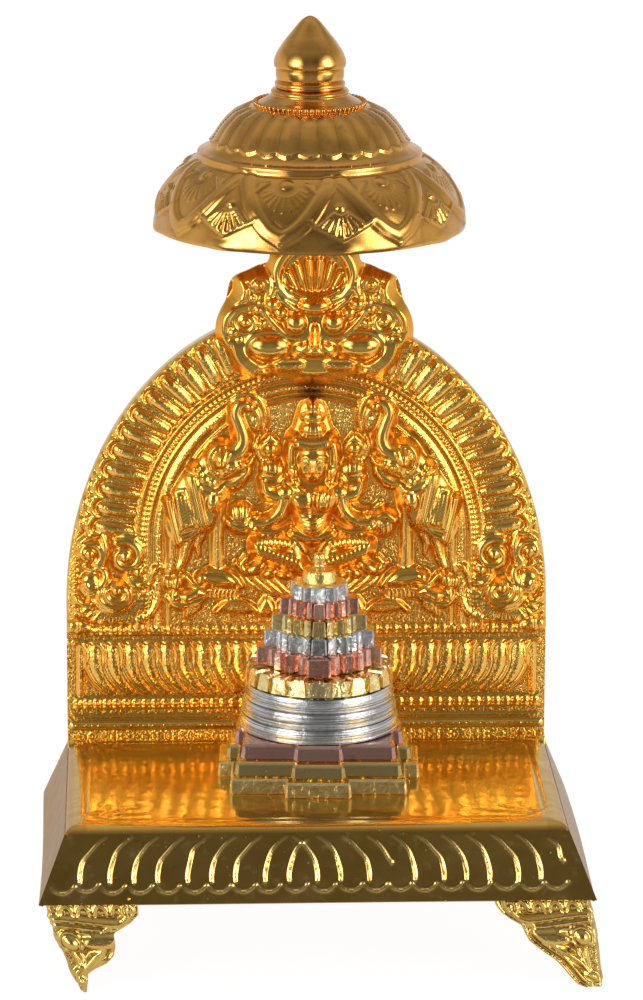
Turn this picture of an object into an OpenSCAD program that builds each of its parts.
// Arched tabletop shrine of folded and pressed sheet metal: a footed seat with sloping
// skirts, an embossed arched back, a parasol on a stem behind it, and the stepped tower
// idol that stands on the seat. Millimetres, +Z up, front towards -Y, ground at z = 0.

/* [Seat] */
// Width of the seat top
seat_w = 88; // [84:1:92]
// Depth of the seat top, front edge to rear edge
seat_d = 53.6; // [50:0.2:58]
// Height of the seat top above the ground
seat_h = 27.7; // [26:0.1:30]
// Height of the sloping skirts round the seat
skirt_h = 12.2; // [10:0.1:14]
// How far the side skirts lean out
skirt_out_x = 4.5; // [3:0.1:6]
// How far the front and rear skirts lean out
skirt_out_y = 5.7; // [3:0.1:7]
// Thickness of the sheet metal
sheet_t = 0.8; // [0.6:0.1:1]

/* [Feet] */
// Width of one wing of a corner foot
foot_w = 16.7; // [14:0.1:18]
// How far a foot's fold stands in from the skirt corner
foot_inset = 1.2; // [0.9:0.1:1.6]
// How far a sound foot's toe splays sideways
toe_out_x = 2.5; // [1.5:0.1:3.5]
// How far a foot's toe splays to the front or rear
toe_out_y = 2.5; // [1.5:0.1:3.5]
// How far the bent front left toe is pushed inwards
bent_in_x = 6; // [0:0.1:7]

// Width of a sound toe where it meets the ground
toe_w = 4; // [3:0.5:5]
// Width of the bent toe where it meets the ground
bent_toe_w = 1.4; // [1:0.1:2]

/* [Arched back] */
// Half the width of the arched back
arch_a = 44; // [42:0.5:46]
// Height of the straight sides of the arched back
arch_spring = 25.5; // [23:0.5:28]
// Rise of the half ellipse above the straight sides
arch_rise = 54.5; // [50:0.5:58]
// Depth of the folded rim behind the arched back
rim_d = 5; // [3:0.5:7]
// Sideways shift of the pressed figures from the middle of the arched back
die_shift = 1.2; // [0:0.1:2]

/* [Parasol] */
// Radius of the parasol's rim
canopy_r = 27.8; // [25:0.1:30]
// Height of the rim above the seat top
canopy_h = 97.5; // [95:0.5:100]
// Distance of the parasol's axis behind the seat's front edge
canopy_y = 45.6; // [44:0.1:48]

/* [Tower idol] */
// Width of the idol's square base
idol_w = 31.6; // [28:0.1:32]
// Distance of the idol's front behind the seat's front edge
idol_front = 17; // [12:0.5:18]
// Sideways offset of the idol from the middle of the seat
idol_x = 1.5; // [-2:0.1:2]
// Turn of the idol on the seat in degrees
idol_turn = -2.5; // [-5:0.5:5]

/* [Hidden] */
$fn = 64;

gold = [0.93, 0.66, 0.2];
pale_gold = [0.85, 0.74, 0.4];
silver = [0.8, 0.81, 0.82];
copper = [0.8, 0.5, 0.42];
steel = [0.6, 0.6, 0.6];

// Front to rear, the whole shrine reaches from the front toes to the back of the parasol,
// and the origin is midway between them.
front_reach = skirt_out_y - foot_inset + toe_out_y;
rear_reach = canopy_y + canopy_r;
front_y = (front_reach - rear_reach) / 2;
rear_y = front_y + seat_d;
foot_h = seat_h - skirt_h;
skirt_top_z = seat_h - sheet_t;
plate_y = rear_y - sheet_t;
idol_y = front_y + idol_front + idol_w / 2;
cut = 60;

// Pressed bands across the foot of the arched back.
band_a = arch_a - 2.6;
leaf_y0 = 7;
leaf_y1 = 17.6;
leaves = 11;
// Rope moulding round the figures: a half ellipse on straight legs.
rope_a = 31.2;
rope_b = 32.4;
rope_y = 37;
rope_w = 2;
// Flutes outside the rope, as angles of the half ellipses.
flute_count = 12;
flute_from = 9;
flute_step = 4.7;
flute_r = 1.6;
// Crest: depth of the mask and the round shell niche at its top.
crest_d = 3.6;
shell_r = 8;
shell_y = 86.5;

// Parasol profile above the rim: bell, step, fluted dome, crown, collar and finial.
bell_out = 7.4;
bell_h = 13.3;
dome_r = 17.4;
dome_z = 14.2;
crown_r = 9.7;
crown_z = 22.1;
collar_h = 2.9;
neck_r = 5.6;
finial_z = crown_z + collar_h;
bud_r = 6.3;
bud_z = 29.5;
tip_z = 37.4;
stud_r = 1.5;
stud_z = 17;
stem_w = 6;
stem_t = 1;
stem_from = 48;
nut_h = 2;

// Tower idol: drum rings and the petal ring on them.
drum_r = 14.3;
ring_h = 2.76;
petal_z = 8.6 + 3 * ring_h;
petal_r = 13.3;

// ---- seat -------------------------------------------------------------------------------

module seat_plate()
    color(gold) translate([-seat_w / 2, front_y, skirt_top_z]) cube([seat_w, seat_d, sheet_t]);

// Outer corner of the skirts: top = 1 at the seat plate, 0 at the bottom edge; the sheet's
// inner corner lies t inside it.
function skirt_corner(sx, sy, top, t) = [
    sx * (seat_w / 2 + (1 - top) * skirt_out_x - t),
    sy < 0 ? front_y - (1 - top) * skirt_out_y + t : rear_y + (1 - top) * skirt_out_y - t,
    foot_h + top * (skirt_top_z - foot_h)];

// One mitred skirt between two neighbouring corners of the seat.
module skirt(from, to) {
    corners = [for (t = [0, sheet_t]) for (c = [from, to]) for (top = [0, 1])
        skirt_corner(c[0], c[1], top, t)];
    polyhedron(corners, [[0, 1, 3, 2], [4, 6, 7, 5], [0, 4, 5, 1], [2, 3, 7, 6],
        [0, 2, 6, 4], [1, 5, 7, 3]]);
}
module skirt_front() color(pale_gold) skirt([-1, -1], [1, -1]);
module skirt_rear() color(pale_gold) skirt([1, 1], [-1, 1]);
module skirt_left() color(pale_gold) skirt([-1, 1], [-1, -1]);
module skirt_right() color(pale_gold) skirt([1, -1], [1, 1]);

// ---- feet -------------------------------------------------------------------------------

// Outline of one pressed wing, fold line at x = 0 on top, inwards along -x, ground at y = 0:
// a round lobe, a notch, and a long wave down to a blunt toe. The tab on top goes up behind
// the skirt.
function foot_outline(lean, toe_w, tab) = let (w = foot_w, h = foot_h) concat(
    [[0, h + tab], [-w, h + tab], [-w, h]],
    [for (a = [15:15:75]) [-w + 4.6 * (1 - cos(a)), h - 4.6 * sin(a)]],
    [[-w + 4.8, h - 6.1], [-w + 6, h - 7.5]],
    [for (s = [0.15:0.14:0.99])
        [-w + 6 + s * (w - 6 + lean - toe_w), (h - 7.5) * (1 - s) + 0.9 * sin(360 * s) * (1 - s)]],
    [[lean - toe_w, -1], [lean * (h + 1) / h, -1], [lean, 0]]);

// One wing as a sheet, tilted so that its toe moves out by splay.
module foot_wing(lean, splay, toe_w)
    translate([0, 0, foot_h]) rotate([90 - atan(splay / foot_h), 0, 0])
        translate([0, -foot_h, -sheet_t]) linear_extrude(sheet_t)
            polygon(foot_outline(lean, toe_w, splay < 0 ? 1 : 2));

// A corner foot in its own place at the front right: two wings that meet at the fold.
module foot_blank(out_x, out_y)
    intersection() {
        union() {
            foot_wing(out_x, out_y, out_x > 0 ? toe_w : bent_toe_w);
            mirror([1, 1, 0]) foot_wing(out_y, out_x, toe_w);
        }
        translate([-cut, -cut, 0]) cube(2 * cut);
    }

module foot(sx, sy, out_x, out_y)
    color(pale_gold) difference() {
        translate([sx * (seat_w / 2 + skirt_out_x - foot_inset),
            sy < 0 ? front_y - skirt_out_y + foot_inset : rear_y + skirt_out_y - foot_inset, 0])
            mirror([sx < 0 ? 1 : 0, 0, 0]) mirror([0, sy > 0 ? 1 : 0, 0])
                foot_blank(out_x, out_y);
        skirt([-1, -1], [1, -1]);
        skirt([1, 1], [-1, 1]);
        skirt([-1, 1], [-1, -1]);
        skirt([1, -1], [1, 1]);
    }
module foot_front_left() foot(-1, -1, -bent_in_x, toe_out_y);
module foot_front_right() foot(1, -1, toe_out_x, toe_out_y);
module foot_rear_left() foot(-1, 1, toe_out_x, toe_out_y);
module foot_rear_right() foot(1, 1, toe_out_x, toe_out_y);

// ---- arched back ------------------------------------------------------------------------

// The pressed work is drawn on the plate's own front face: x to the right, y up from the
// seat top, z towards the front.
module on_plate() translate([0, plate_y, seat_h]) rotate([90, 0, 0]) children();
module in_front() intersection() { children(); translate([-cut, -1, 0]) cube([2 * cut, 2 * cut, cut]); }

// Right-to-left points of a half ellipse standing at height y0.
function half_ellipse(a, b, y0, from = 0, to = 180, n = 48) =
    [for (i = [0:n]) let (t = from + (to - from) * i / n) [a * cos(t), y0 + b * sin(t)]];
function arch_outline(a, b, y0, foot = 0) = concat([[-a, foot], [a, foot]],
    half_ellipse(a, b, y0));

module crest_outline(grow = 0) {
    right = [[0, 64.3 - grow], [4, 65 - grow], [8, 66.5 - grow], [12 + grow, 68.5],
        [14.4 + grow, 71], [15.4 + grow, 73.6], [17.2 + grow, 75.6], [18.1 + grow, 78.6],
        [17.7 + grow, 81.6], [16 + grow, 84.2 + grow], [13.6, 85.8 + grow],
        [10.8, 87 + grow], [7, 90]];
    polygon(concat(right, [for (i = [len(right) - 1:-1:1]) [-right[i][0], right[i][1]]]));
    translate([0, shell_y]) circle(shell_r + grow);
}

module back_plate()
    color(gold) on_plate() translate([0, 0, -sheet_t]) linear_extrude(sheet_t) {
        polygon(arch_outline(arch_a, arch_rise, arch_spring));
        translate([die_shift, 0]) crest_outline(1);
    }
module back_rim()
    color(pale_gold) on_plate() translate([0, 0, -sheet_t - rim_d]) linear_extrude(rim_d)
        difference() {
            polygon(arch_outline(arch_a, arch_rise, arch_spring));
            polygon(arch_outline(arch_a - sheet_t, arch_rise - sheet_t, arch_spring, -1));
        }

// A half-round moulding across the plate.
module bead_row(y, r)
    color(gold) on_plate() in_front()
        translate([-band_a, y, 0]) rotate([0, 90, 0]) cylinder(r = r, h = 2 * band_a);
module bead_row_lower() bead_row(5, 1.6);
module bead_row_upper() bead_row(19.2, 1.5);

// A leaf leaning by lean over the height h, widest in the middle.
function leaf(w, h, lean, n = 8) = concat(
    [for (i = [0:n]) let (s = i / n) [lean * s * s - w / 2 * sin(180 * s), h * s]],
    [for (i = [n - 1:-1:1]) let (s = i / n) [lean * s * s + w / 2 * sin(180 * s), h * s]]);

module leaf_band()
    color(gold) on_plate() {
        linear_extrude(0.5) translate([-band_a, leaf_y0]) square([2 * band_a, leaf_y1 - leaf_y0]);
        for (side = [-1, 1]) for (i = [0:leaves - 1])
            translate([side * (1.8 + i * (band_a - 5) / leaves), leaf_y0 + 0.4, 0.5])
                linear_extrude(1) mirror([side < 0 ? 1 : 0, 0])
                    polygon(leaf(2.8, leaf_y1 - leaf_y0 - 0.8, 2.4));
    }

module rope_moulding()
    color(gold) on_plate() linear_extrude(1.6) difference() {
        polygon(arch_outline(rope_a, rope_b, rope_y, 20.8));
        polygon(arch_outline(rope_a - rope_w, rope_b - rope_w, rope_y, 20));
    }

// Half-round flutes that stand across the band between the rope and the edge.
module flute(t) {
    inner = [rope_a * cos(t), rope_y + rope_b * sin(t)];
    outer = [(arch_a - 3) * cos(t), arch_spring + (arch_rise - 3) * sin(t)];
    d = outer - inner;
    translate(inner) rotate([0, 0, atan2(d[1], d[0])]) rotate([0, 90, 0])
        translate([0, 0, 1]) linear_extrude(norm(d) - 1.5)
            polygon([for (a = [-90:30:90]) flute_r * [-cos(a), sin(a)]]);
}
module flutes()
    color(gold) on_plate()
        for (i = [0:flute_count - 1]) flute(flute_from + i * flute_step);
module flutes_right() flutes();
module flutes_left() mirror([1, 0, 0]) flutes();

// A round-ended rod through a list of points.
module limbs(path, r)
    for (i = [0:len(path) - 2]) hull() {
        translate(path[i]) sphere(r, $fn = 10);
        translate(path[i + 1]) sphere(r, $fn = 10);
    }
module ball(p, r) translate(p) sphere(r, $fn = 14);

// A rolled leaf: a flat spiral ribbon that narrows inwards, with a boss in its eye.
function volute(r, turns, n = 20) = concat(
    [for (i = [0:n]) let (s = i / n) r * (1 - 0.72 * s) *
        [cos(360 * turns * s), sin(360 * turns * s)]],
    [for (i = [n:-1:0]) let (s = i / n) r * (0.72 - 0.6 * s) *
        [cos(360 * turns * s), sin(360 * turns * s)]]);
module roll(x, y, r, from, turn_side, h = 1.8)
    translate([x, y, 0]) mirror([turn_side < 0 ? 1 : 0, 0, 0]) rotate(from) {
        linear_extrude(h) polygon(volute(r, 0.85));
        cylinder(r = r * 0.36, h = h * 1.3);
    }
// A leaf that grows from a point at the angle a.
module frond(x, y, w, h, lean, a, t = 1.2)
    translate([x, y, 0]) rotate(a) linear_extrude(t) polygon(leaf(w, h, lean));

// Scrolls at the foot of the flutes: three rolled leaves over a ribbed fan.
module scroll()
    color(gold) on_plate() {
        roll(39.4, 34.6, 2.9, 200, 1);
        roll(34, 34.2, 2.7, 20, -1);
        roll(38.6, 28.4, 2.7, 160, 1);
        cylinder_fan(33.6, 28, 2.4, 6.4);
    }
// A boss with ribs fanned out below it.
module cylinder_fan(x, y, r, reach) {
    translate([x, y, 0]) cylinder(r = r, h = 2.6);
    for (i = [0:6]) frond(x, y, 1.9, reach, 0, 130 + 20 * i);
}
module scroll_right() scroll();
module scroll_left() mirror([1, 0, 0]) scroll();

// Leaves and rolls between the scrolls and the throne.
module foliage()
    color(gold) on_plate() {
        roll(25.4, 25.6, 3.4, 90, -1);
        roll(18.4, 24.6, 2.9, 60, 1);
        roll(14.6, 29, 1.8, 250, -1);
        frond(25.4, 25, 2.4, 8, 1, -4);
        frond(21.8, 26, 2, 6, -1, -20);
    }
module foliage_right() foliage();
module foliage_left() mirror([1, 0, 0]) foliage();

// Pointed petals under the seated figure, with a flat cushion on them.
module lotus_throne()
    color(gold) on_plate() translate([die_shift, 0, 0]) {
        for (i = [-3:3]) translate([i * 3.1, 24.6, 0]) linear_extrude(2.2)
            polygon(leaf(3, 5, 0));
        linear_extrude(1.4) translate([-11.2, 23]) square([22.4, 3]);
        linear_extrude(2.6) translate([-9.4, 29.4]) square([18.8, 1.2]);
    }

// The seated figure: crossed legs, four arms, two raised lotus buds, a tall crown.
module goddess_figure()
    color(gold) on_plate() translate([die_shift, 0, 0]) in_front() {
        limbs([[0, 40, 1.2], [0.4, 45.4, 1.6]], 3);
        limbs([[-3.4, 36.8, 1], [3.4, 36.8, 1]], 3);
        ball([0.6, 51, 2], 3.2);
        translate([0.6, 53, 1.8]) rotate([-90, 0, 0])
            cylinder(r1 = 2.7, r2 = 0.7, h = 9, $fn = 14);
        for (side = [-1, 1]) mirror([side < 0 ? 1 : 0, 0, 0]) {
            limbs([[9.8, 35, 1.4], [-1.6, 32.8, 2]], 2);
            limbs([[3.4, 46.2, 1.4], [7.2, 46.6, 1.4], [7.4, 51.6, 1.4]], 1.1);
            ball([7.6, 54, 1.2], 2.1);
            limbs([[3.4, 45.2, 2], [6.4, 40.8, 2.2], [12.4, 40.6, 1.8]], 1.1);
        }
    }

// An elephant that faces the figure with its trunk raised.
module elephant()
    color(gold) on_plate() in_front() {
        limbs([[20, 47, 1.4], [23.2, 45.4, 1]], 4.2);
        ball([15.2, 50.2, 2.2], 3.2);
        translate([17.6, 51.4, 2]) cylinder(r = 2.6, h = 2.4, $fn = 14);
        limbs([[13.6, 49.6, 2.2], [11.6, 54, 1.8], [13, 58, 1.6], [11.4, 61.6, 1.6]], 1.2);
        limbs([[16.4, 45, 1.4], [16.2, 32.6, 1.2]], 1.8);
        limbs([[22.4, 43, 1], [21.6, 33.6, 0.9]], 1.9);
    }
module elephant_right() elephant();
module elephant_left() mirror([1, 0, 0]) elephant();

// The mask over the arch: brow boss, balls for eyes, broad nose, cheeks, curled leaves.
module crest_mask()
    color(gold) on_plate() translate([die_shift, 0, 0]) {
        linear_extrude(crest_d) crest_outline();
        translate([0, 0, crest_d]) {
            in_front() {
                ball([0, 80.6, 0], 2.2);
                for (side = [-1, 1]) {
                    ball([side * 3.6, 77.8, 0.2], 1.9);
                    ball([side * 6.4, 79.8, 0.1], 1.3);
                    ball([side * 8.4, 81.4, 0], 1);
                    ball([side * 4.4, 72.8, 0], 2.7);
                    limbs([[side * 2, 68.6, 0], [side * 6.4, 70, 0]], 1.1);
                }
                limbs([[-1.1, 75.6, 0.4], [1.1, 75.6, 0.4]], 1.3);
            }
            for (side = [0, 1]) mirror([side, 0, 0]) {
                roll(13.6, 80.6, 2.8, 40, -1, 1.4);
                roll(12.2, 74.4, 2.5, 200, 1, 1.4);
            }
        }
    }
module crest_shell()
    color(gold) on_plate() translate([die_shift, shell_y, crest_d]) {
        linear_extrude(0.7) difference() {
            circle(shell_r);
            circle(shell_r - 1.1);
        }
        for (i = [0:7]) translate([0, -3.2, 0]) rotate(-70 + 20 * i) linear_extrude(0.8)
            polygon(leaf(1.3, 7.4 - 0.3 * abs(i - 3.5), 0, 5));
    }

// ---- parasol ----------------------------------------------------------------------------

// Parasol pieces stand on its axis, with z = 0 in the plane of the rim.
module on_axis() translate([0, front_y + canopy_y, seat_h + canopy_h]) children();
function arc(centre, size, n = 12) =
    [for (i = [0:n]) let (t = 90 * i / n) centre + [size[0] * cos(t), size[1] * sin(t)]];
function canopy_side(t) = concat(
    arc([canopy_r - bell_out, 0], [bell_out - t, bell_h - t]),
    t > 0 ? [[dome_r - t, bell_h]] : [],
    arc([crown_r, dome_z], [dome_r - crown_r - t, crown_z - dome_z - t]));

module parasol_canopy()
    color(gold) on_axis() difference() {
        rotate_extrude() {
            outer = canopy_side(0);
            inner = canopy_side(sheet_t);
            polygon(concat(outer, [[0, crown_z], [0, crown_z - sheet_t]],
                [for (i = [len(inner) - 1:-1:0]) inner[i]]));
        }
        cylinder(r = stud_r, h = cut);
    }
module parasol_collar()
    color(gold) on_axis() translate([0, 0, crown_z]) difference() {
        union() {
            cylinder(r = crown_r - 0.2, h = 0.7);
            cylinder(r = crown_r - 0.9, h = 1.5);
            cylinder(r = neck_r + 1, h = collar_h);
        }
        translate([0, 0, -1]) cylinder(r = stud_r, h = cut);
    }
module parasol_finial()
    color(gold) on_axis() rotate_extrude() polygon(concat(
        [[0, stud_z], [stud_r, stud_z], [stud_r, finial_z], [neck_r, finial_z],
            [bud_r - 0.2, finial_z + 1.9]],
        [for (s = [0:0.1:0.95]) [bud_r * (1 - pow(s, 1.6)), bud_z + s * (tip_z - bud_z)]],
        [[0, tip_z]]));

// A flat strip riveted behind the back, bent forward under the parasol's crown.
module parasol_stem() {
    tab_z = seat_h + canopy_h + crown_z - sheet_t - stem_t;
    color(steel) difference() {
        union() {
            translate([-stem_w / 2, rear_y, seat_h + stem_from])
                cube([stem_w, stem_t, tab_z + stem_t - seat_h - stem_from]);
            translate([-stem_w / 2, front_y + canopy_y - stem_w / 2, tab_z])
                cube([stem_w, rear_y + stem_t - front_y - canopy_y + stem_w / 2, stem_t]);
        }
        translate([0, front_y + canopy_y, 0]) cylinder(r = stud_r, h = 200);
    }
}
module stem_rivets()
    color(steel) for (up = [6, 16])
        translate([0, rear_y + stem_t, seat_h + stem_from + up]) rotate([-90, 0, 0])
            intersection() {
                translate([0, 0, -1]) sphere(2);
                cylinder(r = 2, h = 2);
            }
module stem_nut()
    color(steel) on_axis() translate([0, 0, crown_z - sheet_t - stem_t - nut_h]) difference() {
        cylinder(r = 3, h = nut_h, $fn = 6);
        translate([0, 0, -1]) cylinder(r = stud_r, h = nut_h + 2);
    }

// ---- tower idol -------------------------------------------------------------------------

module on_idol(z) translate([idol_x, idol_y, seat_h + z]) rotate(idol_turn) children();

// A square step with a block standing out in the middle of each side.
module idol_step(z, h, half, block, out) on_idol(z) {
    translate([-half, -half, 0]) cube([2 * half, 2 * half, h]);
    for (turn = [0, 90]) rotate(turn)
        translate([-half - out, -block, 0]) cube([2 * (half + out), 2 * block, h]);
}
module idol_base_lower() color(gold) idol_step(0, 2.8, idol_w / 2, 5.9, 2.3);
module idol_base_middle() color(gold) idol_step(2.8, 2.8, idol_w / 2 - 0.9, 4.9, 1.7);
module idol_base_upper() color(copper) idol_step(5.6, 3, idol_w / 2 - 2, 4.5, 1.3);

module idol_drum()
    color(silver) on_idol(8.6) rotate_extrude() polygon(concat([[0, 0]],
        [for (i = [0:2]) for (p = [[0, 0], [-0.2, ring_h - 0.25], [-0.45, ring_h]])
            [drum_r - 0.45 * i + p[0], ring_h * i + p[1]]], [[0, 3 * ring_h]]));

module idol_petal_ring()
    color(gold) on_idol(petal_z) {
        cylinder(r = petal_r - 1.5, h = 2.6);
        for (i = [0:15]) rotate(i * 22.5 + 11.25)
            translate([petal_r - 3, -1.4, 0]) cube([3, 2.8, 3.2]);
    }

// A prism with n blunt points.
module idol_tier(z, h, n, r) on_idol(z) linear_extrude(h) polygon([for (i = [0:n - 1])
    for (p = [[-0.5, 0.8], [-0.22, 1], [0.22, 1]])
        let (a = (i + p[0]) * 360 / n - 90) r * p[1] * [cos(a), sin(a)]]);
module idol_tier_1() color(copper) idol_tier(petal_z + 3.2, 3.3, 14, 11.3);
module idol_tier_2() color(silver) idol_tier(petal_z + 6.5, 3.1, 14, 10);
module idol_tier_3() color(gold) idol_tier(petal_z + 9.6, 2.9, 14, 8.5);
module idol_tier_4() color(copper) idol_tier(petal_z + 12.5, 2.9, 10, 7.1);
module idol_tier_5() color(silver) idol_tier(petal_z + 15.4, 2.7, 8, 5.2);
module idol_cap() color(gold) on_idol(petal_z + 18.1) cylinder(r = 3.1, h = 2.4);
module idol_finial()
    color(gold) on_idol(petal_z + 20.5) {
        cylinder(r = 1.05, h = 2);
        translate([0, 0, 2]) sphere(1.05);
    }

seat_plate();
skirt_front();
skirt_rear();
skirt_left();
skirt_right();
foot_front_left();
foot_front_right();
foot_rear_left();
foot_rear_right();
back_plate();
back_rim();
bead_row_lower();
leaf_band();
bead_row_upper();
rope_moulding();
flutes_left();
flutes_right();
scroll_left();
scroll_right();
lotus_throne();
goddess_figure();
elephant_left();
elephant_right();
foliage_left();
foliage_right();
crest_mask();
crest_shell();
parasol_stem();
stem_rivets();
parasol_canopy();
parasol_collar();
parasol_finial();
stem_nut();
idol_base_lower();
idol_base_middle();
idol_base_upper();
idol_drum();
idol_petal_ring();
idol_tier_1();
idol_tier_2();
idol_tier_3();
idol_tier_4();
idol_tier_5();
idol_cap();
idol_finial();
